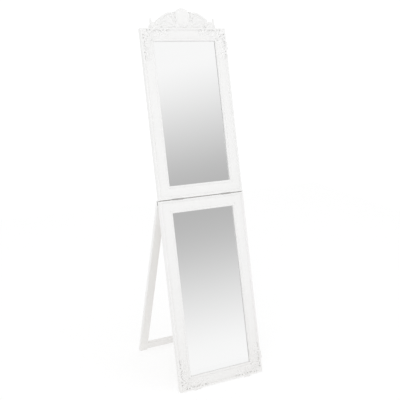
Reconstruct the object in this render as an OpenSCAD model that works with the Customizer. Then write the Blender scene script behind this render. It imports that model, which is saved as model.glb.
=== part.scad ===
// Folding floor mirror: two framed mirrors joined by a fold hinge, on a hinged rear leg frame.
// X runs across the mirror, Y from front to back and Z up. The origin is on the floor, under
// the middle of the whole object. Each panel is drawn upright with its back on y = 0 and its
// front towards -Y, then leant back about its rear bottom edge.

/* [Panels] */
// Width of both mirror panels
panel_w = 450; // [420:5:500]
// Length of the lower panel
lower_len = 898; // [860:1:960]
// Length of the upper panel's frame, without the crest
upper_len = 802; // [740:1:860]
// Gap between the two panels
seam = 3; // [3:0.1:4]
// Thickness of the felt strips that cushion the seam
felt_t = 2.4; // [2:0.1:2.7]
// Angle that the panels lean back from vertical
lean = 15; // [10:0.5:18]

/* [Frame moulding] */
// Width of the moulding
mould_w = 62; // [60:1:66]
// Depth of the moulding at its outer bead
mould_t = 27; // [27:0.5:30]
// Depth from the moulding's front to the glass
glass_depth = 12; // [11:0.5:13]
// Width of the rebate behind the sight edge
rebate_w = 10; // [8:0.5:10]
// Diameter of the dowel across each mitre
mitre_dowel_d = 8; // [6:1:8]
// Length of the dowel across each mitre
mitre_dowel_l = 30; // [24:1:32]

/* [Glass and backing] */
// Thickness of the mirror glass
glass_t = 4; // [3:0.5:4]
// Thickness of the card liner
card_t = 3; // [2:0.5:3]
// Thickness of the backing board
board_t = 4; // [3:0.5:4]
// Gap between the glass edge and the rebate wall
glass_play = 1; // [0.5:0.5:2]
// Thickness of a framer's point
point_t = 1; // [0.5:0.5:1.5]
// Length of a framer's point
point_l = 16; // [12:1:18]
// Width of a framer's point
point_w = 8; // [6:1:10]
// Number of framer's points along each stile
stile_points = 5; // [3:1:6]
// Number of framer's points along each rail
rail_points = 2; // [2:1:3]

/* [Ornaments] */
// Height of the corner ornaments above the outer bead
ornament_rise = 3; // [2:0.5:4]
// Length of each arm of a corner ornament
ornament_arm = 150; // [120:5:160]
// Width of each arm of a corner ornament
ornament_w = 40; // [34:1:44]
// Height of the crest above the upper panel
crest_h = 97; // [90:1:105]
// Thickness of the crest board
crest_t = 12; // [10:0.5:14]
// Depth from the moulding's front to the crest board's face
crest_depth = 9; // [8:0.5:10]
// Thickness of the shell and the scrolls in front of the crest board
crest_relief = 7; // [5:0.5:8]

/* [Leg frame] */
// Angle of the open leg frame from vertical
leg_tilt = 15; // [12:0.5:16]
// Height of the leg hinge along the lower panel
leg_pin_height = 875; // [840:1:880]
// Thickness of the leg frame
leg_t = 20; // [18:1:22]
// Width of the leg frame's stiles
leg_stile_w = 39; // [34:1:44]
// Height of the leg frame's top rail
leg_rail_h = 40; // [38:1:44]
// Height of the leg frame's bottom rail
foot_rail_h = 32; // [30:1:36]
// Height of the bottom rail above the feet
foot_rail_lift = 7; // [3:1:10]
// Height of the leg frame's bevelled top above the hinge pin
leg_head = 19; // [18:0.5:20]
// Clearance between the stop pads and the panel's back
stop_gap = 0.3; // [0.2:0.1:0.5]
// Thickness of the rubber stop pads on the bevelled top
pad_t = 6; // [4:0.5:6]
// Height of the stop pads
pad_h = 16; // [10:1:17]
// Diameter of the leg frame's dowels
leg_dowel_d = 8; // [6:1:8]
// Length of the leg frame's dowels
leg_dowel_l = 40; // [30:1:44]

/* [Hinges] */
// Distance from the middle of the mirror to the middle of each hinge
hinge_x = 130; // [110:1:140]
// Length of each hinge
hinge_l = 50; // [45:1:60]
// Diameter of the hinge pins
pin_d = 2.2; // [2:0.1:2.4]
// Radial clearance round each pin
pin_play = 0.05; // [0.03:0.01:0.08]
// Side gap between neighbouring knuckles
knuckle_gap = 0.3; // [0.2:0.1:0.5]
// Distance of the fold pin in front of the moulding
fold_pin_rise = 0.5; // [0.5:0.1:1]
// Outer diameter of the fold hinge's knuckles
fold_knuckle_d = 4.4; // [4.2:0.1:4.6]
// Thickness of the fold hinge's leaves
fold_leaf_t = 1.35; // [1:0.05:1.35]
// Width of the fold hinge's leaves
fold_leaf_w = 22; // [18:1:22]
// Gap between the closed leg frame and the panel's back
leg_gap = 5; // [5:0.5:6]
// Outer diameter of the leg hinge's knuckles
leg_knuckle_d = 4.8; // [4.4:0.1:4.9]
// Thickness of the leg hinge's leaves
leg_leaf_t = 1.2; // [1:0.1:1.5]
// Width of the leg hinge's leaves
leg_leaf_w = 22; // [20:1:24]
// Diameter of the screws' shanks
screw_d = 2.6; // [2.2:0.1:3]
// Diameter of the screws' countersunk heads
screw_head_d = 5; // [4.6:0.1:5.4]
// Length of the screws
screw_l = 13; // [10:1:14]

/* [Hidden] */
$fn = 48;
// Levels along the panels
upper_base = lower_len + seam;
frame_top = upper_base + upper_len;
fold_pin_height = lower_len + seam / 2;
fold_pin_y = -mould_t - fold_pin_rise;
leg_pin_y = leg_gap / 2;
leg_open = lean + leg_tilt;
// The leg hinge's pin on the leant panel, measured from the panel's rear bottom edge
pin_back = leg_pin_height * sin(lean) + leg_pin_y * cos(lean);
pin_up = leg_pin_height * cos(lean) - leg_pin_y * sin(lean);
// Front and back of the whole object, which set the origin
ornament_low = 4;
front_y = ornament_low * sin(lean) - (mould_t + ornament_rise) * cos(lean);
back_y = pin_back + (leg_gap / 2 + leg_t) / cos(leg_tilt) + pin_up * tan(leg_tilt);
origin_y = (front_y + back_y) / 2;
// Moulding levels above the panel's back
lip_v = mould_t - glass_depth;
face_drop = 4.8;
face_v = mould_t - face_drop;
rebate_u = mould_w - rebate_w;
board_v = lip_v - glass_t - card_t - board_t;
bead_r = 4.5;
cove_r = 4.2;
cove_u = 12.6;
inner_bead_r = 4;
inner_bead_u = mould_w - 6;
crown_r = 76;
crown_u0 = 14;
crown_w = 35;
crown_rise = 2;
bead_drop = 2.3;
inner_bead_sink = 2.4;
cove_lift = 3.2;
sight_chamfer = 4;
groove_r = 1.6;
// Felt strips in the seam: how far they keep from the panel's edges and from the hinge leaves
felt_inset = 3;
felt_end = 4;
// Corner dowels, along the diagonal of the moulding
dowel_u = 28;
dowel_v = 11;
// Leg frame
leg_foot = -pin_up / cos(leg_tilt);
leg_len = leg_t - leg_foot;
foot_rail_z = leg_foot + foot_rail_lift;
leg_rail_w = panel_w - 2 * leg_stile_w;
dowel_rows = [8, 22];
// Plane of the bevel behind the stop pads, the pads' side margin and their height above the pin
pad_back = stop_gap + pad_t - leg_pin_y;
pad_inset = 1;
pad_z = 5;
// Crest outline
crest_half_w = 175;
dome_half_w = 190;
dome_rise = 78;
dome_r = (dome_half_w * dome_half_w + dome_rise * dome_rise) / (2 * dome_rise);
shell_r = 38;
shell_lobes = 9;
shell_lobe_r = 7;
shell_waist = 31;
shell_foot = 42;
scroll_band = 30;
scroll_x0 = 45;
scroll_x1 = 145;
horn_x = 164;
horn_r = 9;
horn_tip = 37;
horn_base_r = 18;
horn_base_x = horn_x - 7;
crest_front = -mould_t + crest_depth;
crest_back = crest_front + crest_t;
notch_x = 144;
notch_r = 10;
notch_height = 37;
crest_dowel_x = [-150, -50, 50, 150];
crest_dowel_d = 6;
crest_dowel_l = 30;
// Colours
white_paint = "#f4f3f0";
glass_tint = "#c9ced0";
board_greige = "#c8c2b8";
card_grey = "#b5ab98";
steel = "#c8c8c4";
beech = "#d9bd8f";
felt_grey = "#a2a09d";
lacquer_grey = "#b0aaa0";
rubber_black = "#26262a";

// ---- placing ----

// Leans something drawn on the upright panels into its place
module leant() {
    translate([0, -origin_y, 0]) rotate([-lean, 0, 0]) children();
}

// Puts something drawn round the leg pin, in the closed direction, into the open position
module on_leg() {
    translate([0, pin_back - origin_y, pin_up]) rotate([leg_tilt, 0, 0]) children();
}

// Draws its children and their mirror image
module both_sides() {
    children();
    mirror([1, 0, 0]) children();
}

// A prism along Y under an outline in the panel's plane, from y0 to y1
module slab(y0, y1) {
    translate([0, y1, 0]) rotate([90, 0, 0]) linear_extrude(y1 - y0) children();
}

// ---- frame moulding ----

// Section of the moulding: u from the outer edge to the sight edge, v up from the back
module moulding_section() {
    difference() {
        union() {
            polygon([
                [0, 0], [rebate_u, 0], [rebate_u, lip_v], [mould_w, lip_v],
                [mould_w, face_v - sight_chamfer + 1], [mould_w - sight_chamfer, face_v - 1],
                [0, face_v - 1]
            ]);
            translate([bead_r, mould_t - bead_r]) circle(bead_r);
            translate([0, mould_t - bead_r - bead_drop]) square([bead_r * 2, bead_drop]);
            intersection() {
                translate([crown_u0 + crown_w / 2, face_v + crown_rise - crown_r])
                    circle(crown_r, $fn = 180);
                translate([crown_u0, face_v - crown_rise]) square([crown_w, 3 * crown_rise]);
            }
            translate([inner_bead_u, face_v - inner_bead_sink]) circle(inner_bead_r);
        }
        translate([cove_u, face_v + cove_lift]) circle(cove_r);
        translate([crown_u0 + crown_w + 1, face_v + 1]) circle(groove_r);
    }
}

// A straight length of moulding up the left side
module moulding(length) {
    linear_extrude(length) mirror([0, 1]) moulding_section();
}

// Outline of a stile between its two mitres
module stile_outline(length) {
    polygon([
        [-panel_w / 2, 0], [-panel_w / 2, length],
        [mould_w - panel_w / 2, length - mould_w], [mould_w - panel_w / 2, mould_w]
    ]);
}

// Outline of a rail between its two mitres
module rail_outline() {
    polygon([
        [-panel_w / 2, 0], [panel_w / 2, 0],
        [panel_w / 2 - mould_w, mould_w], [mould_w - panel_w / 2, mould_w]
    ]);
}

// Left stile of a panel, standing on z = 0
module plain_stile(length) {
    intersection() {
        translate([-panel_w / 2, 0, 0]) moulding(length);
        slab(-mould_t - 1, 1) stile_outline(length);
    }
}

// Bottom rail of a panel, standing on z = 0
module plain_rail() {
    intersection() {
        translate([-panel_w / 2, 0, 0]) rotate([0, 90, 0]) mirror([1, 0, 0]) moulding(panel_w);
        slab(-mould_t - 1, 1) rail_outline();
    }
}

// Turns a bottom rail into the top rail of a panel
module at_top(length) {
    translate([0, 0, length]) mirror([0, 0, 1]) children();
}

// The whole moulding of a panel, for cutting what lies on it
module moulding_ring(length) {
    both_sides() plain_stile(length);
    plain_rail();
    at_top(length) plain_rail();
}

// Dowels across the four mitres
module corner_dowels(length) {
    both_sides() {
        corner_dowel();
        at_top(length) corner_dowel();
    }
}

module corner_dowel() {
    translate([dowel_u - panel_w / 2, -dowel_v, dowel_u]) rotate([0, 135, 0])
        cylinder(d = mitre_dowel_d, h = mitre_dowel_l, center = true);
}

// Framer's points driven into the rebate's walls, behind the backing board
module framers_points(length) {
    y_point = -board_v + point_t / 2;
    stile_pitch = (length - 2 * mould_w) / stile_points;
    rail_pitch = (panel_w - 2 * mould_w) / rail_points;
    both_sides() for (i = [0 : stile_points - 1])
        translate([rebate_u - panel_w / 2, y_point, mould_w + (i + 0.5) * stile_pitch])
            cube([point_l, point_t, point_w], center = true);
    for (i = [0 : rail_points - 1], end = [rebate_u, length - rebate_u])
        translate([mould_w - panel_w / 2 + (i + 0.5) * rail_pitch, y_point, end])
            cube([point_w, point_t, point_l], center = true);
}

// A sheet behind the lip: the glass, the liner or the board
module pane(length, v0, thickness) {
    edge = rebate_u + glass_play;
    translate([edge - panel_w / 2, -v0 - thickness, edge])
        cube([panel_w - 2 * edge, thickness, length - 2 * edge]);
}

module mirror_pane(length) {
    color(glass_tint) pane(length, lip_v - glass_t, glass_t);
}

module card_pane(length) {
    color(card_grey) pane(length, lip_v - glass_t - card_t, card_t);
}

module board_pane(length) {
    color(board_greige) pane(length, board_v, board_t);
}

// ---- ornaments and crest ----

// Leaf arm of a corner ornament: overlapping lobes that taper along the arm
module leaf_arm() {
    lobes = 5;
    for (i = [0 : lobes - 1])
        translate([ornament_w / 2, ornament_w / 2 + i * (ornament_arm - ornament_w) / (lobes - 1)])
            circle(ornament_w / 2 - i * 3);
    translate([ornament_w / 2 - 7, ornament_w / 2]) square([14, ornament_arm - ornament_w]);
}

// Corner ornament of the lower left corner, lying on the moulding
module corner_ornament(length) {
    inset = ornament_low;
    difference() {
        slab(-mould_t - ornament_rise, -face_v + 2) translate([inset - panel_w / 2, inset]) {
            leaf_arm();
            mirror([1, -1]) leaf_arm();
        }
        moulding_ring(length);
    }
}

// Outline of the crest board: a shallow dome on the frame's top edge, notched near its cut ends
module dome_outline() {
    difference() {
        intersection() {
            translate([0, dome_rise - dome_r]) circle(dome_r, $fn = 180);
            translate([-crest_half_w, 0]) square([2 * crest_half_w, crest_h]);
        }
        for (side = [-1, 1]) translate([side * notch_x, notch_height]) circle(notch_r);
    }
}

// Outline of the shell: a disc whose upper edge is a row of round lobes, on a flared foot
module shell_outline() {
    shell_z = crest_h - shell_r;
    lobe_angle = 180 / (shell_lobes - 1);
    translate([0, shell_z]) {
        circle(shell_r - shell_lobe_r / 2);
        for (i = [0 : shell_lobes - 1])
            rotate(i * lobe_angle - 90) translate([0, shell_r - shell_lobe_r]) circle(shell_lobe_r);
    }
    polygon([
        [-shell_foot, 0], [shell_foot, 0], [shell_waist, shell_z], [-shell_waist, shell_z]
    ]);
}

// Outline of the right scroll: a band that follows the dome and ends in a curled tip
module scroll_outline() {
    intersection() {
        difference() {
            translate([0, dome_rise - dome_r]) circle(dome_r, $fn = 180);
            translate([0, dome_rise - dome_r]) circle(dome_r - scroll_band, $fn = 180);
        }
        translate([scroll_x0, 5]) square([scroll_x1 - scroll_x0, crest_h]);
    }
    translate([horn_base_x, horn_base_r]) circle(horn_base_r);
    translate([horn_x - horn_r, horn_base_r]) square([2 * horn_r, horn_tip - horn_base_r]);
    translate([horn_x, horn_tip]) circle(horn_r);
    translate([scroll_x1 - horn_r, 0]) square([horn_base_x - scroll_x1 + horn_r, horn_base_r]);
}

module on_frame_top() {
    translate([0, 0, frame_top]) children();
}

module crest_scroll() {
    difference() {
        slab(crest_front - crest_relief, crest_front) scroll_outline();
        slab(crest_front - 2 * crest_relief, crest_front + 1) shell_outline();
    }
}

// ---- hinges ----

// Centres of a hinge's screws along its length
function screw_places() = [-hinge_l / 3, 0, hinge_l / 3];

// A hinge leaf lying on the plane y = offset, thickness towards the pin, hanging down from a
// pin on the X axis. The middle third of the barrel belongs to one leaf, the rest to the other.
module hinge_leaf(leaf_w, leaf_t, offset, knuckle_d, middle, bore_d) {
    third = hinge_l / 3;
    clear_d = knuckle_d + 2 * knuckle_gap;
    difference() {
        union() {
            translate([-hinge_l / 2, offset - leaf_t, -leaf_w]) cube([hinge_l, leaf_t, leaf_w]);
            barrel(hinge_l, knuckle_d);
        }
        if (middle) {
            for (side = [-1, 1]) translate([side * third, 0, 0]) barrel(third + knuckle_gap, clear_d);
            for (side = [-1, 1]) translate([side * hinge_l / 2, 0, 0]) barrel(knuckle_gap * 2, clear_d);
        } else {
            barrel(third + knuckle_gap, clear_d);
        }
        barrel(hinge_l + 1, bore_d);
        for (x = screw_places()) translate([x, offset - leaf_t, -leaf_w * 0.55]) countersunk(leaf_t);
    }
}

module barrel(length, d) {
    rotate([0, 90, 0]) cylinder(d = d, h = length, center = true);
}

// A countersunk screw whose head lies flush with y = 0 and points along +Y
module countersunk(head_h) {
    rotate([-90, 0, 0]) {
        cylinder(d1 = screw_head_d, d2 = screw_d, h = head_h);
        cylinder(d = screw_d, h = screw_l);
    }
}

// The screws of one leaf
module leaf_screws(leaf_w, leaf_t, offset) {
    for (x = screw_places()) translate([x, offset - leaf_t, -leaf_w * 0.55]) countersunk(leaf_t);
}

// The fold hinge's frame: the pin on X, leaves run back into the seam. The lower leaf lies on
// the lower panel's top, the upper leaf is its mirror image about the seam.
module at_fold_pin() {
    translate([0, fold_pin_y, fold_pin_height]) children();
}

module fold_leaf_pose() {
    rotate([-90, 0, 0]) mirror([0, 0, 1]) children();
}

module fold_leaf(middle, bore_d) {
    fold_leaf_pose()
        hinge_leaf(fold_leaf_w + fold_pin_rise, fold_leaf_t, seam / 2, fold_knuckle_d, middle, bore_d);
}

module fold_screws() {
    fold_leaf_pose() leaf_screws(fold_leaf_w + fold_pin_rise, fold_leaf_t, seam / 2);
}

module lower_fold_leaf(side) {
    color(lacquer_grey) leant() at_fold_pin() translate([side * hinge_x, 0, 0]) fold_leaf(false, pin_d);
}

module upper_fold_leaf(side) {
    color(lacquer_grey) leant() at_fold_pin() translate([side * hinge_x, 0, 0]) mirror([0, 0, 1])
        fold_leaf(true, pin_d + 2 * pin_play);
}

module fold_pin(side) {
    color(lacquer_grey) leant() at_fold_pin() translate([side * hinge_x, 0, 0]) barrel(hinge_l, pin_d);
}

module at_leg_pin() {
    translate([0, leg_pin_y, leg_pin_height]) children();
}

module panel_leg_leaf(side) {
    color(steel) leant() at_leg_pin() translate([side * hinge_x, 0, 0]) mirror([0, 1, 0])
        hinge_leaf(leg_leaf_w, leg_leaf_t, leg_gap / 2, leg_knuckle_d, false, pin_d);
}

module leg_leaf(side) {
    color(steel) on_leg() translate([side * hinge_x, 0, 0])
        hinge_leaf(leg_leaf_w, leg_leaf_t, leg_gap / 2, leg_knuckle_d, true, pin_d + 2 * pin_play);
}

module leg_pin(side) {
    color(steel) leant() at_leg_pin() translate([side * hinge_x, 0, 0]) barrel(hinge_l, pin_d);
}

// ---- lower panel ----

module lower_cuts() {
    corner_dowels(lower_len);
    framers_points(lower_len);
    both_sides() {
        at_fold_pin() translate([hinge_x, 0, 0]) fold_screws();
        at_leg_pin() translate([hinge_x, 0, 0]) mirror([0, 1, 0]) leg_leaf_screws();
    }
}

module lower_left_stile() {
    color(white_paint) leant() difference() {
        plain_stile(lower_len);
        lower_cuts();
    }
}

module lower_right_stile() {
    color(white_paint) leant() difference() {
        mirror([1, 0, 0]) plain_stile(lower_len);
        lower_cuts();
    }
}

module lower_top_rail() {
    color(white_paint) leant() difference() {
        at_top(lower_len) plain_rail();
        lower_cuts();
    }
}

module lower_bottom_rail() {
    color(white_paint) leant() difference() {
        plain_rail();
        lower_cuts();
    }
}

module lower_mirror() {
    leant() mirror_pane(lower_len);
}

module lower_card_liner() {
    leant() card_pane(lower_len);
}

module lower_backing_board() {
    leant() board_pane(lower_len);
}

module lower_framers_points() {
    color(steel) leant() framers_points(lower_len);
}

module lower_corner_dowels() {
    color(beech) leant() corner_dowels(lower_len);
}

module lower_left_ornament() {
    color(white_paint) leant() corner_ornament(lower_len);
}

module lower_right_ornament() {
    color(white_paint) leant() mirror([1, 0, 0]) corner_ornament(lower_len);
}

// Felt strips on the lower panel's top edge, between and beside the fold hinges
module seam_felts() {
    inner_x = hinge_x - hinge_l / 2 - felt_end;
    outer_x = hinge_x + hinge_l / 2 + felt_end;
    depth = mould_t - 2 * felt_inset;
    color(felt_grey) leant() translate([0, -mould_t + felt_inset, lower_len]) {
        translate([-inner_x, 0, 0]) cube([2 * inner_x, depth, felt_t]);
        both_sides() translate([outer_x, 0, 0])
            cube([panel_w / 2 - felt_inset - outer_x, depth, felt_t]);
    }
}

// ---- upper panel ----

// Lifts something drawn on z = 0 to the upper panel's bottom edge
module on_upper() {
    translate([0, 0, upper_base]) children();
}

module upper_cuts() {
    on_upper() {
        corner_dowels(upper_len);
        framers_points(upper_len);
    }
    crest_dowel_set();
    both_sides() at_fold_pin() translate([hinge_x, 0, 0]) mirror([0, 0, 1]) fold_screws();
}

module upper_left_stile() {
    color(white_paint) leant() difference() {
        on_upper() plain_stile(upper_len);
        upper_cuts();
    }
}

module upper_right_stile() {
    color(white_paint) leant() difference() {
        on_upper() mirror([1, 0, 0]) plain_stile(upper_len);
        upper_cuts();
    }
}

module upper_top_rail() {
    color(white_paint) leant() difference() {
        on_upper() at_top(upper_len) plain_rail();
        upper_cuts();
    }
}

module upper_bottom_rail() {
    color(white_paint) leant() difference() {
        on_upper() plain_rail();
        upper_cuts();
    }
}

module upper_mirror() {
    leant() on_upper() mirror_pane(upper_len);
}

module upper_card_liner() {
    leant() on_upper() card_pane(upper_len);
}

module upper_backing_board() {
    leant() on_upper() board_pane(upper_len);
}

module upper_framers_points() {
    color(steel) leant() on_upper() framers_points(upper_len);
}

module upper_corner_dowels() {
    color(beech) leant() on_upper() corner_dowels(upper_len);
}

module upper_left_ornament() {
    color(white_paint) leant() on_upper() at_top(upper_len) corner_ornament(upper_len);
}

module upper_right_ornament() {
    color(white_paint) leant() on_upper() at_top(upper_len) mirror([1, 0, 0])
        corner_ornament(upper_len);
}

// ---- crest ----

// Dowels that hold the crest board on the frame's top edge
module crest_dowel_set() {
    on_frame_top() for (x = crest_dowel_x)
        translate([x, (crest_front + crest_back) / 2, 0])
            cylinder(d = crest_dowel_d, h = crest_dowel_l, center = true);
}

module crest_board() {
    color(white_paint) leant() difference() {
        on_frame_top() slab(crest_front, crest_back) dome_outline();
        crest_dowel_set();
    }
}

module crest_shell() {
    color(white_paint) leant() on_frame_top()
        slab(crest_front - crest_relief, crest_front) shell_outline();
}

module crest_left_scroll() {
    color(white_paint) leant() on_frame_top() mirror([1, 0, 0]) crest_scroll();
}

module crest_right_scroll() {
    color(white_paint) leant() on_frame_top() crest_scroll();
}

module crest_dowels() {
    color(beech) leant() crest_dowel_set();
}

// ---- hinge parts ----

module leg_leaf_screws() {
    leaf_screws(leg_leaf_w, leg_leaf_t, leg_gap / 2);
}

module fold_hinge_left_lower_leaf() {
    lower_fold_leaf(-1);
}

module fold_hinge_right_lower_leaf() {
    lower_fold_leaf(1);
}

module fold_hinge_left_upper_leaf() {
    upper_fold_leaf(-1);
}

module fold_hinge_right_upper_leaf() {
    upper_fold_leaf(1);
}

module fold_hinge_left_pin() {
    fold_pin(-1);
}

module fold_hinge_right_pin() {
    fold_pin(1);
}

module fold_hinge_lower_screws() {
    color(steel) leant() both_sides() at_fold_pin() translate([hinge_x, 0, 0]) fold_screws();
}

module fold_hinge_upper_screws() {
    color(steel) leant() both_sides() at_fold_pin() translate([hinge_x, 0, 0])
        mirror([0, 0, 1]) fold_screws();
}

module leg_hinge_left_panel_leaf() {
    panel_leg_leaf(-1);
}

module leg_hinge_right_panel_leaf() {
    panel_leg_leaf(1);
}

module leg_hinge_left_leg_leaf() {
    leg_leaf(-1);
}

module leg_hinge_right_leg_leaf() {
    leg_leaf(1);
}

module leg_hinge_left_pin() {
    leg_pin(-1);
}

module leg_hinge_right_pin() {
    leg_pin(1);
}

module leg_hinge_panel_screws() {
    color(steel) leant() both_sides() at_leg_pin() translate([hinge_x, 0, 0])
        mirror([0, 1, 0]) leg_leaf_screws();
}

module leg_hinge_leg_screws() {
    color(steel) on_leg() both_sides() translate([hinge_x, 0, 0]) leg_leaf_screws();
}

// ---- leg frame, drawn round the leg pin in the closed direction ----

// What the bevel and the floor take off the leg frame
module leg_trims() {
    big = 2 * leg_len;
    rotate([-leg_open, 0, 0]) translate([-big / 2, pad_back - big, -big / 2]) cube(big);
    rotate([-leg_tilt, 0, 0]) translate([-big / 2, -big / 2, -pin_up - big]) cube(big);
}

// Rubber pads on the stiles' bevelled tops, which press on the panel's back when the leg is open
module leg_stop_pads() {
    color(rubber_black) on_leg() rotate([-leg_open, 0, 0]) both_sides()
        translate([leg_rail_w / 2 + pad_inset, pad_back - pad_t, pad_z])
            cube([leg_stile_w - 2 * pad_inset, pad_t, pad_h]);
}

// A board of the leg frame from x0 to x1 and from z0 to z1
module leg_board(x0, x1, z0, z1) {
    color(white_paint) on_leg() difference() {
        translate([x0, leg_gap / 2, z0]) cube([x1 - x0, leg_t, z1 - z0]);
        leg_trims();
        leg_dowel_set();
        both_sides() translate([hinge_x, 0, 0]) leg_leaf_screws();
    }
}

module leg_dowel_set() {
    both_sides() for (base = [foot_rail_z, leg_head - leg_rail_h], row = dowel_rows)
        translate([leg_rail_w / 2, (leg_gap + leg_t) / 2, base + row])
            barrel(leg_dowel_l, leg_dowel_d);
}

module leg_left_stile() {
    leg_board(-panel_w / 2, -leg_rail_w / 2, -leg_len, leg_head);
}

module leg_right_stile() {
    leg_board(leg_rail_w / 2, panel_w / 2, -leg_len, leg_head);
}

module leg_top_rail() {
    leg_board(-leg_rail_w / 2, leg_rail_w / 2, leg_head - leg_rail_h, leg_head);
}

module leg_bottom_rail() {
    leg_board(-leg_rail_w / 2, leg_rail_w / 2, foot_rail_z, foot_rail_z + foot_rail_h);
}

module leg_dowels() {
    color(beech) on_leg() leg_dowel_set();
}

lower_left_stile();
lower_right_stile();
lower_top_rail();
lower_bottom_rail();
lower_mirror();
lower_card_liner();
lower_backing_board();
lower_framers_points();
lower_corner_dowels();
lower_left_ornament();
lower_right_ornament();
seam_felts();
upper_left_stile();
upper_right_stile();
upper_top_rail();
upper_bottom_rail();
upper_mirror();
upper_card_liner();
upper_backing_board();
upper_framers_points();
upper_corner_dowels();
upper_left_ornament();
upper_right_ornament();
crest_board();
crest_shell();
crest_left_scroll();
crest_right_scroll();
crest_dowels();
fold_hinge_left_lower_leaf();
fold_hinge_right_lower_leaf();
fold_hinge_left_upper_leaf();
fold_hinge_right_upper_leaf();
fold_hinge_left_pin();
fold_hinge_right_pin();
fold_hinge_lower_screws();
fold_hinge_upper_screws();
leg_hinge_left_panel_leaf();
leg_hinge_right_panel_leaf();
leg_hinge_left_leg_leaf();
leg_hinge_right_leg_leaf();
leg_hinge_left_pin();
leg_hinge_right_pin();
leg_hinge_panel_screws();
leg_hinge_leg_screws();
leg_left_stile();
leg_right_stile();
leg_top_rail();
leg_bottom_rail();
leg_dowels();
leg_stop_pads();
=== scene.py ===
import math

import bmesh
import bpy
import numpy as np
from mathutils import Matrix, Vector


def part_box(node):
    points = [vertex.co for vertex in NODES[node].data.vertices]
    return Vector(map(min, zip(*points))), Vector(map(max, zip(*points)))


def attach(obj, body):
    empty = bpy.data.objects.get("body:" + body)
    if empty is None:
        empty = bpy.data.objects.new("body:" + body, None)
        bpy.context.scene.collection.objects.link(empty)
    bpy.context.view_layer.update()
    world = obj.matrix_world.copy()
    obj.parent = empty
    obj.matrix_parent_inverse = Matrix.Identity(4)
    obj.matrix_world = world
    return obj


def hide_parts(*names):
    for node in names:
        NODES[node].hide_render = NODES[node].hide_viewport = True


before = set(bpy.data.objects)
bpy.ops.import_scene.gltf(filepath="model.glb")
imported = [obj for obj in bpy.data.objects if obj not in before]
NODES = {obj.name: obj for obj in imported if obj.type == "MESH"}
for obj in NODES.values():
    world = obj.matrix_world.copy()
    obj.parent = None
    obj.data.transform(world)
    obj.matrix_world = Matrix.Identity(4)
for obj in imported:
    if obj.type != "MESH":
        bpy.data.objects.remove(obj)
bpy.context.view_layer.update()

# ---- the panels' own space: x across, s up the panel, v forward from its back, in millimetres ----

MM = 0.001
LEAN = math.radians(15)
MOULD_W = 62 * MM
RAIL_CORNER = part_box("lower_bottom_rail")[1]
HALF_W = RAIL_CORNER.x / MM
BASE_Y = RAIL_CORNER.y - MOULD_W * math.sin(LEAN)
LEANT = Matrix.Translation((0, BASE_Y, 0)) @ Matrix.Rotation(-LEAN, 4, "X")


def on_panel(x, s, v):
    """The scene's point for a place on a panel. s starts at the lower panel's bottom edge."""
    return LEANT @ Vector((x * MM, -v * MM, s * MM))


def panel_span(node):
    """The least and the greatest (x, s) of a node on the leant plane."""
    corners = [LEANT.inverted() @ v.co / MM for v in NODES[node].data.vertices]
    return [(pick(c.x for c in corners), pick(c.z for c in corners)) for pick in (min, max)]


FRAME_TOP = panel_span("upper_top_rail")[1][1]


# ---- node helpers ----

class Nodes:
    """Short ways to add and link the shader nodes of one tree."""

    def __init__(self, tree):
        self.tree = tree

    def add(self, kind, **settings):
        node = self.tree.nodes.new("ShaderNode" + kind)
        for name, value in settings.items():
            setattr(node, name, value)
        return node

    def set(self, node, socket, value):
        if isinstance(value, bpy.types.NodeSocket):
            self.tree.links.new(value, node.inputs[socket])
        else:
            node.inputs[socket].default_value = value

    def part(self, vector, axis):
        split = self.add("SeparateXYZ")
        self.set(split, "Vector", vector)
        return split.outputs[axis]

    def maths(self, operation, *values):
        node = self.add("Math", operation=operation)
        for socket, value in enumerate(values):
            self.set(node, socket, value)
        return node.outputs[0]

    def remap(self, value, low, high, to_low, to_high, curve="LINEAR"):
        remap = self.add("MapRange", interpolation_type=curve)
        self.set(remap, "Value", value)
        self.set(remap, "From Min", low)
        self.set(remap, "From Max", high)
        self.set(remap, "To Min", to_low)
        self.set(remap, "To Max", to_high)
        return remap.outputs["Result"]

    def mix(self, factor, first, second):
        mix = self.add("Mix", data_type="RGBA")
        self.set(mix, 0, factor)
        for socket, colour in ((6, first), (7, second)):
            self.set(mix, socket, colour if isinstance(colour, bpy.types.NodeSocket) else (*colour, 1))
        return mix.outputs[2]


class Shader(Nodes):
    """A Principled material, built node by node in the object's own coordinates."""

    def __init__(self, name, colour, roughness, metallic=0.0, specular=0.5):
        self.material = bpy.data.materials.new(name)
        self.material.use_nodes = True
        super().__init__(self.material.node_tree)
        self.surface = self.tree.nodes["Principled BSDF"]
        self.set(self.surface, "Base Color", (*colour, 1))
        self.set(self.surface, "Roughness", roughness)
        self.set(self.surface, "Metallic", metallic)
        self.set(self.surface, "Specular IOR Level", specular)
        self.place = self.add("TexCoord").outputs["Object"]

    def stretched(self, x, y, z):
        mapping = self.add("Mapping")
        self.set(mapping, "Vector", self.place)
        self.set(mapping, "Scale", (x, y, z))
        return mapping.outputs["Vector"]

    def noise(self, vector, scale, detail=4, roughness=0.55):
        noise = self.add("TexNoise")
        self.set(noise, "Vector", vector)
        self.set(noise, "Scale", scale)
        self.set(noise, "Detail", detail)
        self.set(noise, "Roughness", roughness)
        return noise.outputs["Fac"]

    def bump(self, height, distance, strength, under=None):
        bump = self.add("Bump")
        self.set(bump, "Height", height)
        self.set(bump, "Distance", distance)
        self.set(bump, "Strength", strength)
        if under is not None:
            self.set(bump, "Normal", under)
        return bump.outputs["Normal"]

    def finish(self, colour, roughness=None, normal=None):
        self.set(self.surface, "Base Color", colour)
        if roughness is not None:
            self.set(self.surface, "Roughness", roughness)
        if normal is not None:
            self.set(self.surface, "Normal", normal)
        return self.material


# ---- materials ----

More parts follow.
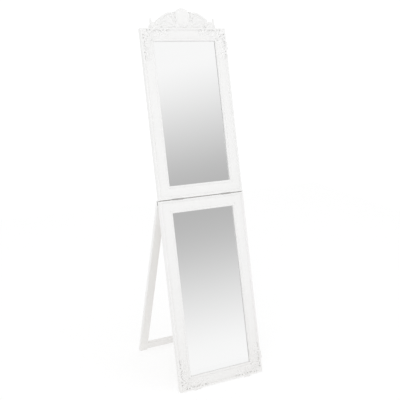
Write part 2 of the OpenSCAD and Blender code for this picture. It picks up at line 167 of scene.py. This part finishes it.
PAINT = (0.943, 0.941, 0.937)
PAINT_DEEP = (0.88, 0.875, 0.866)
# the colour, top height and strength of the painted shade that darkens the paint towards the floor
PAINT_FLOOR_SHADE = (0.87, 0.85, 0.83)
FLOOR_SHADE_TOP = 0.55
FLOOR_SHADE_MOST = 0.4
STROKE_FINE = 900
STROKE_LONG = 18
FLOOR_GLOW = 0.6
FLOOR_LIGHT = 0.57
WHITE = (1, 1, 1, 1)


def painted_wood(name, along):
    """Warm white satin paint, with painted shade that darkens it towards the floor. The brush strokes
    follow the axis along.
    """
    paint = Shader(name, PAINT, 0.42, specular=0.4)
    scale = [STROKE_FINE] * 3
    scale["xyz".index(along)] = STROKE_LONG
    strokes = paint.noise(paint.stretched(*scale), 1.0, detail=3)
    clouds = paint.noise(paint.place, 6, detail=5)
    grain = paint.noise(paint.place, 260, detail=2)
    colour = paint.mix(paint.remap(clouds, 0.35, 0.7, 0, 0.3), PAINT, PAINT_DEEP)
    # painted shade: towards the floor the paint is mixed into a darker grey, broken up by noise
    floor_shade_breakup = paint.remap(paint.noise(paint.place, 34, detail=5), 0.3, 0.6, 0.6, 1.0)
    low = paint.remap(paint.part(paint.place, "Z"), 0.0, FLOOR_SHADE_TOP, FLOOR_SHADE_MOST, 0.0)
    colour = paint.mix(paint.maths("MULTIPLY", low, floor_shade_breakup), colour, PAINT_FLOOR_SHADE)
    rough = paint.remap(strokes, 0.3, 0.7, 0.36, 0.5)
    normal = paint.bump(grain, 0.0002, 0.12, under=paint.bump(strokes, 0.0002, 0.15))
    return paint.finish(colour, rough, normal)


def mirror_silver():
    silver = Shader("mirror_silver", (0.93, 0.93, 0.93), 0.01, metallic=1.0)
    haze = silver.noise(silver.place, 3.0, detail=2)
    tint = silver.mix(haze, (0.926, 0.928, 0.927), (0.936, 0.937, 0.936))
    return silver.finish(tint, silver.remap(haze, 0.3, 0.7, 0.004, 0.014))


def hardboard():
    board = Shader("hardboard", (0.58, 0.54, 0.48), 0.6, specular=0.3)
    fibres = board.noise(board.place, 420, detail=6, roughness=0.7)
    clouds = board.noise(board.place, 14, detail=4)
    speckle = board.mix(board.remap(fibres, 0.3, 0.75, 0, 1), (0.5, 0.46, 0.4), (0.66, 0.62, 0.56))
    colour = board.mix(board.remap(clouds, 0.35, 0.7, 0, 0.5), speckle, (0.6, 0.555, 0.49))
    return board.finish(colour, board.remap(fibres, 0.3, 0.7, 0.5, 0.72), board.bump(fibres, 0.0004, 0.4))


def lining_card():
    card = Shader("lining_card", (0.5, 0.45, 0.37), 0.9, specular=0.2)
    flecks = card.noise(card.place, 700, detail=3)
    colour = card.mix(card.remap(flecks, 0.35, 0.65, 0, 1), (0.45, 0.4, 0.32), (0.58, 0.52, 0.43))
    return card.finish(colour, normal=card.bump(flecks, 0.0002, 0.4))


def zinc_steel():
    steel = Shader("zinc_steel", (0.72, 0.72, 0.7), 0.34, metallic=1.0)
    blotches = steel.noise(steel.place, 160, detail=4)
    scratches = steel.noise(steel.stretched(90, 2400, 2400), 1.0, detail=2)
    colour = steel.mix(steel.remap(blotches, 0.35, 0.65, 0, 1), (0.62, 0.62, 0.6), (0.78, 0.78, 0.77))
    rough = steel.remap(blotches, 0.3, 0.7, 0.26, 0.46)
    return steel.finish(colour, rough, steel.bump(scratches, 0.0001, 0.25))


# the fold hinges' steel: a mid grey chosen so that the knuckles read as the shade in the seam, that is
# painted shade
def lacquered_steel():
    steel = Shader("lacquered_steel", (0.45, 0.44, 0.43), 0.5, metallic=0.2)
    mottle = steel.noise(steel.place, 260, detail=4)
    wear = steel.noise(steel.place, 900, detail=3)
    colour = steel.mix(steel.remap(mottle, 0.35, 0.7, 0, 1), (0.41, 0.4, 0.39), (0.51, 0.5, 0.49))
    return steel.finish(colour, steel.remap(mottle, 0.3, 0.7, 0.4, 0.56), steel.bump(wear, 0.0001, 0.3))


def soft_rubber():
    rubber = Shader("soft_rubber", (0.02, 0.02, 0.021), 0.75, specular=0.3)
    dust = rubber.noise(rubber.place, 500, detail=5)
    colour = rubber.mix(rubber.remap(dust, 0.5, 0.75, 0, 1), (0.016, 0.016, 0.017), (0.05, 0.049, 0.047))
    return rubber.finish(colour, rubber.remap(dust, 0.3, 0.7, 0.65, 0.85), rubber.bump(dust, 0.0002, 0.4))


# the felt strip between the panels: a real strip, whose dark grey also stands in for the shade in the seam,
# as painted shade
def seam_shade_felt():
    felt = Shader("seam_shade_felt", (0.36, 0.35, 0.335), 0.95, specular=0.1)
    fibres = felt.noise(felt.place, 1400, detail=5, roughness=0.7)
    colour = felt.mix(felt.remap(fibres, 0.35, 0.7, 0, 1), (0.3, 0.29, 0.275), (0.42, 0.41, 0.39))
    return felt.finish(colour, normal=felt.bump(fibres, 0.0004, 0.6))


def raw_beech():
    beech = Shader("raw_beech", (0.7, 0.52, 0.33), 0.6, specular=0.3)
    flecks = beech.noise(beech.stretched(300, 300, 30), 1.0, detail=3)
    colour = beech.mix(flecks, (0.62, 0.44, 0.26), (0.78, 0.61, 0.41))
    return beech.finish(colour, normal=beech.bump(flecks, 0.0002, 0.3))


def white_floor():
    """A white studio floor that glows a little, so that it stays as pale as the backdrop."""
    floor = Shader("white_floor", (0.45, 0.45, 0.45), 0.9, specular=0.0)
    floor.set(floor.surface, "Emission Color", WHITE)
    seen = floor.add("LightPath").outputs["Is Camera Ray"]
    floor.set(floor.surface, "Emission Strength", floor.remap(seen, 0, 1, FLOOR_LIGHT, FLOOR_GLOW))
    clouds = floor.noise(floor.place, 2.0, detail=3)
    return floor.finish(floor.mix(clouds, (0.43, 0.43, 0.43), (0.44, 0.44, 0.44)))


PAINT_UP = painted_wood("paint_up", "z")
PAINT_ACROSS = painted_wood("paint_across", "x")
PAINT_CARVED = painted_wood("paint_carved", "x")
SILVER = mirror_silver()
BOARD = hardboard()
CARD = lining_card()
ZINC = zinc_steel()
SEAM_SHADE_STEEL = lacquered_steel()
RUBBER = soft_rubber()
SEAM_SHADE_FELT = seam_shade_felt()
BEECH = raw_beech()


def clothe(obj, material):
    obj.data.materials.clear()
    obj.data.materials.append(material)


def node_material(name):
    if name.endswith("_mirror"):
        return SILVER
    if "felts" in name:
        return SEAM_SHADE_FELT
    if "pads" in name:
        return RUBBER
    if "card" in name:
        return CARD
    if "backing" in name:
        return BOARD
    if "dowels" in name:
        return BEECH
    if name.startswith("fold_hinge") and "screws" not in name:
        return SEAM_SHADE_STEEL
    if "hinge" in name or "points" in name:
        return ZINC
    if "rail" in name or "crest" in name:
        return PAINT_ACROSS
    return PAINT_UP


# ---- the CAD nodes: materials, and eased edges on the painted boards ----

EDGE_ROUND = 0.6 * MM
EDGE_ANGLE = math.radians(38)


def round_edges(obj):
    """Eases the sharp edges of a painted board, as sanding and paint do."""
    bevel = obj.modifiers.new("eased_edges", "BEVEL")
    bevel.width = EDGE_ROUND
    bevel.segments = 2
    bevel.limit_method = "ANGLE"
    bevel.angle_limit = EDGE_ANGLE
    bevel.use_clamp_overlap = True


for node_name, node in NODES.items():
    clothe(node, node_material(node_name))
    if node_name.endswith(("stile", "rail", "crest_board")):
        round_edges(node)


# ---- visual pieces ----

def add_piece(name, work, material):
    """Turns a finished bmesh into an object of the scene."""
    bmesh.ops.recalc_face_normals(work, faces=work.faces)
    mesh = bpy.data.meshes.new(name)
    work.to_mesh(mesh)
    work.free()
    piece = bpy.data.objects.new(name, mesh)
    bpy.context.scene.collection.objects.link(piece)
    clothe(piece, material)
    return piece


SILVER_FRONT = 11.5
SILVER_BACK = 11.1
ARRIS = 0.15


def make_mirror(panel):
    """The silvered back of the glass, with arrised edges. It lies at the bottom of the pane's thickness."""
    (left, bottom), (right, top) = panel_span(panel + "_mirror")
    work = bmesh.new()
    rings = []
    for inset, v in ((ARRIS, SILVER_BACK), (0, SILVER_BACK + ARRIS), (0, SILVER_FRONT - ARRIS),
                     (ARRIS, SILVER_FRONT)):
        corners = [(left + inset, bottom + inset), (right - inset, bottom + inset),
                   (right - inset, top - inset), (left + inset, top - inset)]
        rings.append([work.verts.new(on_panel(x, s, v)) for x, s in corners])
    for lower, upper in zip(rings, rings[1:]):
        for k, after in enumerate((1, 2, 3, 0)):
            work.faces.new((lower[k], lower[after], upper[after], upper[k]))
    work.faces.new(rings[0][::-1])
    work.faces.new(rings[-1])
    piece = add_piece(panel + "_silvered_glass", work, SILVER)
    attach(piece, panel + "_panel")
    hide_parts(panel + "_mirror")


make_mirror("lower")
make_mirror("upper")


# ---- carved relief ----

GRID = 0.8
UNDERCUT = 0.6
STROKE_STEPS = 36
STEPS_PER_POINT = 12
STROKE_MARGIN = 1.5
BELLY = 0.8
LOBE_DEPTH = 0.26
LOBE_START = 0.35
VEIN_DEPTH = 0.11
VEIN_SLANT = 0.45
TIP_FALL = 0.45
BLUNT_TIP = 0.3
THINNEST = 0.05
STROKE_REACH = 1.15
BOSS_REACH = 1.1
EDGE_CLEAR = 0.02
SMOOTH_ANGLE = math.radians(62)


def smooth_path(points, steps):
    """Points along a Catmull-Rom curve through the given points."""
    given = [Vector(p) for p in points]
    ends = [2 * given[0] - given[1]] + given + [2 * given[-1] - given[-2]]
    spans = len(given) - 1
    made = []
    for k in range(steps + 1):
        at = min(k / steps * spans, spans - 1e-6)
        i, t = int(at), at - int(at)
        a, b, c, d = ends[i:i + 4]
        made.append(0.5 * (2 * b + (c - a) * t + (2 * a - 5 * b + 4 * c - d) * t * t
                           + (3 * b - a - 3 * c + d) * t * t * t))
    return np.array([tuple(p) for p in made])


def beside_path(path, a, b):
    """For each grid point, how far along the path its nearest point is, from 0 to 1, and its distance."""
    squares = (a[..., None] - path[:, 0]) ** 2 + (b[..., None] - path[:, 1]) ** 2
    return np.argmin(squares, axis=-1) / (len(path) - 1), np.sqrt(squares.min(axis=-1))


def stroke_half_width(along, width, taper, lobes):
    start, end = taper
    belly = np.sin(np.pi * along) ** BELLY
    half = width * (start * (1 - along) + end * along) * (1 - belly) + width * belly
    if lobes:
        half *= 1 - LOBE_DEPTH + LOBE_DEPTH * np.abs(np.sin(np.pi * lobes * along + LOBE_START)) ** BELLY
    return half


class Relief:
    """Heights over a fine grid, in millimetres: a is one way along the plane and b the other."""

    def __init__(self, a_range, b_range):
        self.a_line = np.arange(a_range[0], a_range[1] + GRID, GRID)
        self.b_line = np.arange(b_range[0], b_range[1] + GRID, GRID)
        self.a, self.b = np.meshgrid(self.a_line, self.b_line, indexing="ij")
        self.height = np.full(self.a.shape, -UNDERCUT)

    def raise_to(self, height, window=np.s_[:, :]):
        self.height[window] = np.maximum(self.height[window], height)

    def window(self, low, high):
        i0, i1 = np.searchsorted(self.a_line, (low[0], high[0]))
        j0, j1 = np.searchsorted(self.b_line, (low[1], high[1]))
        return np.s_[i0:i1, j0:j1]

    def stroke(self, points, width, rise, section, taper=(0.5, 0.0), lobes=0, veins=0, mirrored=False):
        """Carves a stroke along a curve. taper is the width at its start and end, as shares."""
        if mirrored:
            points = [p[::-1] for p in points]
        path = smooth_path(points, STROKE_STEPS + STEPS_PER_POINT * len(points))
        margin = width + STROKE_MARGIN
        window = self.window(path.min(0) - margin, path.max(0) + margin)
        along, away = beside_path(path, self.a[window], self.b[window])
        across = away / np.maximum(stroke_half_width(along, width, taper, lobes), THINNEST)
        height = section(across) * rise
        if taper[1] < BLUNT_TIP:
            height *= 1 - TIP_FALL * along ** 2
        if veins:
            ribs = np.cos(2 * np.pi * (veins * along - VEIN_SLANT * across))
            height -= VEIN_DEPTH * rise * (0.5 - 0.5 * ribs) * np.minimum(across, 1)
        self.raise_to(np.where(across < STROKE_REACH, height, -UNDERCUT), window)

    def boss(self, centre, radius, rise, mirrored=False):
        """A round bead."""
        a0, b0 = centre[::-1] if mirrored else centre
        away = np.hypot(self.a - a0, self.b - b0) / radius
        self.raise_to(np.where(away < BOSS_REACH, rise * rounded(away), -UNDERCUT))


# the sections of a stroke: its height at q, which is 0 on the middle line and 1 at the edge

SHOULDER = 0.8
RIB_SINK = 0.34
RIB_W = 0.2
HOLLOW = 0.72
RIM_RISE = 0.32
RIM_AT = 0.62
RIM_W = 0.24
OUTSIDE_FALL = 2.0


def rounded(q):
    """A rounded section with soft shoulders, a little below zero outside the edge."""
    return np.where(q < 1, np.clip(1 - q * q, 0, 1) ** SHOULDER, (1 - q) * OUTSIDE_FALL)


def leaf(q):
    """A leaf: round shoulders and a sunk midrib."""
    return rounded(q) * (1 - RIB_SINK * np.exp(-(q / RIB_W) ** 2))


def scroll(q):
    """A scroll: a raised rim on each side of a hollow."""
    return rounded(q) * (HOLLOW + RIM_RISE * np.exp(-((q - RIM_AT) / RIM_W) ** 2))


def relief_surface(relief):
    """Points (a, b, height) and faces of a relief, cut along the line where its height is zero."""
    height = relief.height
    inside = height > 0
    points, index = [], {}

    def corner(p):
        if p not in index:
            index[p] = len(points)
            points.append((relief.a_line[p[0]], relief.b_line[p[1]], height[p]))
        return index[p]

    def crossing(p, q):
        key = (p, q) if p < q else (q, p)
        if key not in index:
            t = min(max(height[p] / (height[p] - height[q]), EDGE_CLEAR), 1 - EDGE_CLEAR)
            index[key] = len(points)
            points.append((relief.a_line[p[0]] * (1 - t) + relief.a_line[q[0]] * t,
                           relief.b_line[p[1]] * (1 - t) + relief.b_line[q[1]] * t, 0.0))
        return index[key]

    faces = []
    touched = inside[:-1, :-1] | inside[1:, :-1] | inside[:-1, 1:] | inside[1:, 1:]
    for i, j in zip(*np.nonzero(touched)):
        ring = [(i, j), (i + 1, j), (i + 1, j + 1), (i, j + 1)]
        face = []
        for p, q in zip(ring, ring[1:] + ring[:1]):
            if inside[p]:
                face.append(corner(p))
            if inside[p] != inside[q]:
                face.append(crossing(p, q))
        faces.append(face)
    return points, faces


def relief_piece(name, relief, place, back):
    """Makes a relief a closed piece. place turns (a, b, height) into a point, and back is its flat side."""
    points, faces = relief_surface(relief)
    work = bmesh.new()
    tops = [work.verts.new(place(*p)) for p in points]
    for face in faces:
        work.faces.new([tops[k] for k in face])
    rim = [edge for edge in work.edges if edge.is_boundary]
    rim_verts = dict.fromkeys(vert for edge in rim for vert in edge.verts)
    work.verts.index_update()
    under = {vert: work.verts.new(place(*points[vert.index][:2], back)) for vert in rim_verts}
    for edge in rim:
        a, b = edge.verts
        if edge.link_loops[0].vert is not a:
            a, b = b, a
        work.faces.new([b, a, under[a], under[b]])
    base = [work.edges.get([under[vert] for vert in edge.verts]) for edge in rim]
    bmesh.ops.triangle_fill(work, edges=base, use_beauty=False, use_dissolve=False)
    piece = add_piece(name, work, PAINT_CARVED)
    piece.data.shade_smooth()
    piece.data.set_sharp_from_angle(angle=SMOOTH_ANGLE)
    return piece


# ---- corner ornaments ----

CORNER_BASE = 21.5
CORNER_BACK = 20.5
CORNER_DEPTH = 0.62


def corner_side(relief, mirrored):
    """The leaves and the scroll along one of the corner's two edges."""
    def stroke(points, width, rise, section, **kwargs):
        relief.stroke(points, width, rise * CORNER_DEPTH, section, mirrored=mirrored, **kwargs)

    # the leaves that spring from the corner along the edge
    stroke([(30, 26), (25, 15), (12, 6)], 6.5, 7.0, leaf, taper=(0.5, 0.1), veins=4)
    stroke([(36, 30), (40, 17), (36, 4)], 6.0, 7.4, leaf, taper=(0.5, 0.1), veins=4)
    # the C scroll, whose back stands over the outer edge
    stroke([(47, 37), (45, 27), (51, 15), (66, 6), (84, 1), (101, 6), (110, 17), (106, 27),
            (98, 27), (97, 21)], 5.2, 9.0, scroll, taper=(0.75, 0.5))
    relief.boss((101, 22), 3.4, 7.6 * CORNER_DEPTH, mirrored)
    # leaves inside and beside the scroll
    stroke([(58, 16), (64, 28), (74, 37), (84, 41)], 7.4, 7.2, leaf, taper=(0.4, 0.0), lobes=3, veins=5)
    stroke([(76, 9), (84, 21), (90, 32), (92, 44)], 5.8, 6.6, leaf, lobes=2, veins=4)
    stroke([(50, 30), (52, 40), (60, 48)], 5.8, 6.8, leaf, veins=4)
    stroke([(62, 9), (70, 2), (81, -5)], 4.8, 7.6, leaf, taper=(0.6, 0.1), veins=3)
    stroke([(90, 4), (98, -1), (108, 2)], 4.2, 6.8, leaf, taper=(0.6, 0.1), veins=3)
    # the long end leaf and its side leaflets
    stroke([(104, 22), (120, 22), (136, 25), (152, 25)], 9.4, 8.4, leaf,
           taper=(0.4, 0.2), lobes=3, veins=8)
    stroke([(112, 24), (118, 34), (127, 41)], 5.4, 6.6, leaf, veins=4)
    stroke([(114, 20), (122, 11), (132, 7)], 5.2, 6.6, leaf, veins=4)
    stroke([(130, 27), (138, 35), (147, 38)], 4.2, 5.8, leaf, veins=3)
    stroke([(132, 22), (139, 15), (147, 13)], 4.0, 5.8, leaf, veins=3)


def corner_relief():
    """Leaf scrolls round one corner: a runs along the rail and b along the stile, from the outer corner."""
    relief = Relief((-7, 162), (-7, 162))
    corner_side(relief, False)
    corner_side(relief, True)
    relief.stroke([(44, 44), (30, 30), (16, 16), (5, 5)], 8.0, 7.2, leaf, lobes=3, veins=7)
    relief.stroke([(40, 40), (48, 48), (57, 57)], 6.0, 5.4, leaf, taper=(0.7, 0.0), veins=4)
    relief.boss((42, 42), 5.2, 7.4)
    return relief


def make_corners():
    relief = corner_relief()
    for corner in ("lower_left", "lower_right", "upper_left", "upper_right"):
        panel, hand = corner.split("_")
        way = -1 if hand == "left" else 1

        def place(a, b, h):
            return on_panel(way * (HALF_W - a), b if panel == "lower" else FRAME_TOP - b, CORNER_BASE + h)

        piece = relief_piece(corner + "_leaf_scroll", relief, place, CORNER_BACK - CORNER_BASE)
        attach(piece, panel + "_panel")
        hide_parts(corner + "_ornament")


# ---- crest ----

CREST_BASE = 17.4
CREST_BACK = 12.0
CREST_DEPTH = 0.42
DISC_R = 38.0
DISC_CENTRE = 58.8
DISC_LOBES = 9
LOBE_ROUND = 0.7
LOBE_SPREAD = 1.9
DISC_PLAIN_R = 7
DISC_FLUTE_RUN = 20
LOBE_BITE = 0.06
FOOT_HALF_W = 42.0
WAIST_HALF_W = 32.0
FOOT_SINK = 0.25
FOOT_RUN = 40
BODY_RISE = 6.2
BODY_SHOULDER = 0.45
FLUTE_DEPTH = 1.3
BORDER_AT = 0.8
BORDER_W = 0.05
BORDER_DEPTH = 1.5


def cartouche(relief):
    """The crest's middle: a fluted disc that flows down into a flared foot, grooved inside its edge."""
    a, b = relief.a, relief.b
    turn = np.arctan2(a, b - DISC_CENTRE)
    reach = np.hypot(a, b - DISC_CENTRE)
    ribs = np.abs(np.cos(turn * DISC_LOBES / 2)) ** LOBE_ROUND
    upper = np.clip(LOBE_SPREAD - np.abs(turn), 0, 1)
    disc = reach / (DISC_R * (1 - LOBE_BITE * upper * (1 - ribs)))
    climb = np.clip(b / DISC_CENTRE, 0, 1)
    half = FOOT_HALF_W + (WAIST_HALF_W - FOOT_HALF_W) * np.sin(climb * math.pi / 2)
    foot = np.where(b < DISC_CENTRE, np.abs(a) / half, np.inf)
    across = np.minimum(disc, foot)
    body = BODY_RISE * np.clip(1 - across ** 8, 0, 1) ** BODY_SHOULDER
    body *= 1 - FOOT_SINK + FOOT_SINK * np.clip(b / FOOT_RUN, 0, 1)
    border = BORDER_DEPTH * np.exp(-((across - BORDER_AT) / BORDER_W) ** 2)
    flutes = FLUTE_DEPTH * upper * (1 - ribs) * (disc < BORDER_AT)
    flutes *= np.clip((reach - DISC_PLAIN_R) / DISC_FLUTE_RUN, 0, 1)
    relief.raise_to(np.where(across < 1, body - border - flutes, -UNDERCUT))


def shell_relief():
    """The shell in the middle of the crest, with a curl on each shoulder and a spray at its foot."""
    relief = Relief((-62, 62), (0, 99))
    cartouche(relief)
    for side in (-1, 1):
        def stroke(points, *args, **kwargs):
            relief.stroke([(side * p[0], p[1]) for p in points], *args, **kwargs)

        stroke([(38, 76), (46, 74), (50, 66), (50, 54), (46, 43), (38, 37), (34, 42), (38, 47)],
               4.4, 7.2, scroll, taper=(0.7, 0.5))
        relief.boss((side * 38.5, 42.5), 2.6, 7.4)
        stroke([(50, 50), (54, 40), (52, 30)], 3.6, 4.6, leaf, veins=3)
        stroke([(4, 5), (14, 7), (23, 15), (27, 29)], 5.0, 9.4, leaf, taper=(0.6, 0.0), lobes=2, veins=4)
    relief.stroke([(0, 3), (0, 16), (0, 36)], 6.0, 10.0, leaf, taper=(0.6, 0.0), lobes=2, veins=5)
    relief.boss((0, 5), 4.6, 9.4)
    return relief


def side_relief():
    """The right side of the crest: a C scroll along the dome's edge, low leaves in it and a horned tip."""
    relief = Relief((24, 196), (0, 84))

    def stroke(points, width, rise, section, **kwargs):
        relief.stroke(points, width, rise * CREST_DEPTH, section, **kwargs)

    stroke([(62, 60), (56, 58), (52, 64), (57, 71), (70, 71), (86, 66), (102, 57), (116, 44), (124, 28),
            (122, 14), (113, 10), (108, 16), (113, 20)], 5.4, 9.6, scroll, taper=(0.55, 0.55))
    relief.boss((58.5, 64), 2.8, 5.4)
    relief.boss((112, 15.5), 3.2, 5.6)
    # the leaves inside the scroll
    stroke([(34, 8), (52, 22), (72, 33), (92, 38), (110, 31)], 8.4, 5.6, leaf, lobes=4, veins=8)
    stroke([(56, 26), (62, 40), (72, 51), (88, 57)], 6.6, 5.2, leaf, lobes=3, veins=5)
    stroke([(76, 36), (86, 46), (100, 50)], 5.0, 4.8, leaf, lobes=2, veins=4)
    stroke([(48, 12), (66, 10), (84, 14), (98, 22)], 6.2, 5.0, leaf, lobes=3, veins=5)
    # the horn and the small leaves at its foot
    stroke([(118, 12), (136, 6), (153, 9), (164, 22), (166, 44)], 9.0, 12.0, leaf,
           taper=(0.6, 0.34), lobes=3, veins=8)
    stroke([(126, 20), (132, 20), (138, 25), (142, 33)], 5.0, 9.0, leaf, taper=(0.8, 0.0), veins=4)
    stroke([(144, 6), (158, 5), (173, 4)], 5.4, 9.6, leaf, taper=(0.6, 0.2), veins=4)
    stroke([(151, 10), (154, 20), (152, 30)], 4.6, 8.4, leaf, taper=(0.8, 0.0), veins=3)
    return relief


def make_crest_piece(name, node, relief, way=1):
    """A carving on the crest board. way is -1 for the left side, which mirrors the right."""
    def place(a, b, h):
        return on_panel(way * a, FRAME_TOP + b, CREST_BASE + h)

    piece = relief_piece(name, relief, place, CREST_BACK - CREST_BASE)
    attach(piece, "upper_panel")
    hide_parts(node)


make_corners()
make_crest_piece("crest_fluted_shell", "crest_shell", shell_relief())
make_crest_piece("crest_right_leaf_scroll", "crest_right_scroll", side_relief())
make_crest_piece("crest_left_leaf_scroll", "crest_left_scroll", side_relief(), way=-1)


# ---- camera, floor and light ----

CAMERA_AT = (-1.5147, -2.8224, 1.7009)
CAMERA_YAW = math.radians(28.152)
CAMERA_DIP = math.radians(14.841)
CAMERA_ROLL = math.radians(0.692)
CAMERA_LENS = 62.06
SENSOR_W = 36
FLOOR_HALF = 3
# the world's level by the sine of the height above the horizon
BAND = [(-0.06, 1.02), (0.0, 1.0), (0.04, 0.89), (0.08, 0.775), (0.12, 0.64), (0.16, 0.54), (0.2, 0.49),
        (0.24, 0.52), (0.28, 0.65), (0.32, 0.79), (0.36, 0.94), (0.4, 1.03), (0.46, 1.06), (0.75, 1.2)]
BACKDROP = (1.1, 1.1, 1.1)
AHEAD = 0.86
AHEAD_NEAR = 0.1
AHEAD_FAR = 0.34
HORIZON_LOW = -0.03
HORIZON_HIGH = 0.06
BEHIND = 0.9
BEHIND_NEAR = -0.1
BEHIND_FAR = 0.6


def make_camera():
    camera = bpy.data.objects.new("camera", bpy.data.cameras.new("camera"))
    camera.data.lens = CAMERA_LENS
    camera.data.sensor_width = SENSOR_W
    camera.location = CAMERA_AT
    turn = Matrix.Rotation(-CAMERA_YAW, 3, "Z") @ Matrix.Rotation(math.pi / 2 - CAMERA_DIP, 3, "X")
    camera.rotation_euler = (turn @ Matrix.Rotation(CAMERA_ROLL, 3, "Z")).to_euler()
    bpy.context.scene.collection.objects.link(camera)
    bpy.context.scene.camera = camera


def make_floor():
    mesh = bpy.data.meshes.new("floor")
    corners = [(FLOOR_HALF * x, FLOOR_HALF * y, 0) for x, y in ((-1, -1), (1, -1), (1, 1), (-1, 1))]
    mesh.from_pydata(corners, [], [(0, 1, 2, 3)])
    floor = bpy.data.objects.new("floor", mesh)
    bpy.context.scene.collection.objects.link(floor)
    clothe(floor, white_floor())


def studio_band(nodes, height):
    """White below the horizon and overhead, with the soft grey band of a far wall between."""
    ramp = nodes.add("ValToRGB")
    elements = ramp.color_ramp.elements
    ramp.color_ramp.interpolation = "B_SPLINE"
    while len(elements) < len(BAND):
        elements.new(0.5)
    for element, (sine, level) in zip(elements, BAND):
        element.position = (sine + 1) / 2
        element.color = (level, level, level, 1)
    nodes.set(ramp, "Fac", nodes.remap(height, -1, 1, 0, 1))
    return ramp.outputs["Color"]


def studio_shade(nodes, across, depth, height):
    """A little less light from straight ahead, above the horizon, and from behind."""
    ahead = nodes.remap(nodes.maths("ABSOLUTE", across), AHEAD_NEAR, AHEAD_FAR, AHEAD, 1.0, "SMOOTHSTEP")
    floorward = nodes.remap(height, HORIZON_LOW, HORIZON_HIGH, 1.0, AHEAD, "SMOOTHSTEP")
    behind = nodes.remap(depth, BEHIND_NEAR, BEHIND_FAR, 1.0, BEHIND, "SMOOTHSTEP")
    return nodes.maths("MULTIPLY", nodes.maths("MAXIMUM", ahead, floorward), behind)


def make_world():
    """The studio as the mirrors and the paint see it. The camera sees a plain white backdrop."""
    world = bpy.data.worlds.new("studio")
    bpy.context.scene.world = world
    world.use_nodes = True
    world.node_tree.nodes.clear()
    nodes = Nodes(world.node_tree)
    aim = nodes.add("TexCoord").outputs["Generated"]
    across, depth, height = [nodes.part(aim, axis) for axis in "XYZ"]
    room = nodes.add("VectorMath", operation="SCALE")
    nodes.set(room, 0, studio_band(nodes, height))
    nodes.set(room, "Scale", studio_shade(nodes, across, depth, height))
    seen = nodes.add("LightPath").outputs["Is Camera Ray"]
    sky = nodes.add("Background")
    nodes.set(sky, "Color", nodes.mix(seen, room.outputs["Vector"], BACKDROP))
    nodes.set(nodes.add("OutputWorld"), "Surface", sky.outputs["Background"])


def area_light(name, place, target, side, power):
    light = bpy.data.objects.new(name, bpy.data.lights.new(name, "AREA"))
    light.data.shape = "SQUARE"
    light.data.size = side
    light.data.energy = power
    light.location = place
    light.rotation_euler = (Vector(target) - Vector(place)).to_track_quat("-Z", "Y").to_euler()
    light.visible_glossy = False
    light.visible_camera = False
    bpy.context.scene.collection.objects.link(light)


make_camera()
make_floor()
make_world()
area_light("key", (-2.2, -3.4, 3.6), (0, 0, 0.9), 2.5, 20)
area_light("top", (0.6, 0.3, 4.2), (0, 0, 0), 4, 7)
bpy.context.scene.view_settings.view_transform = "Standard"
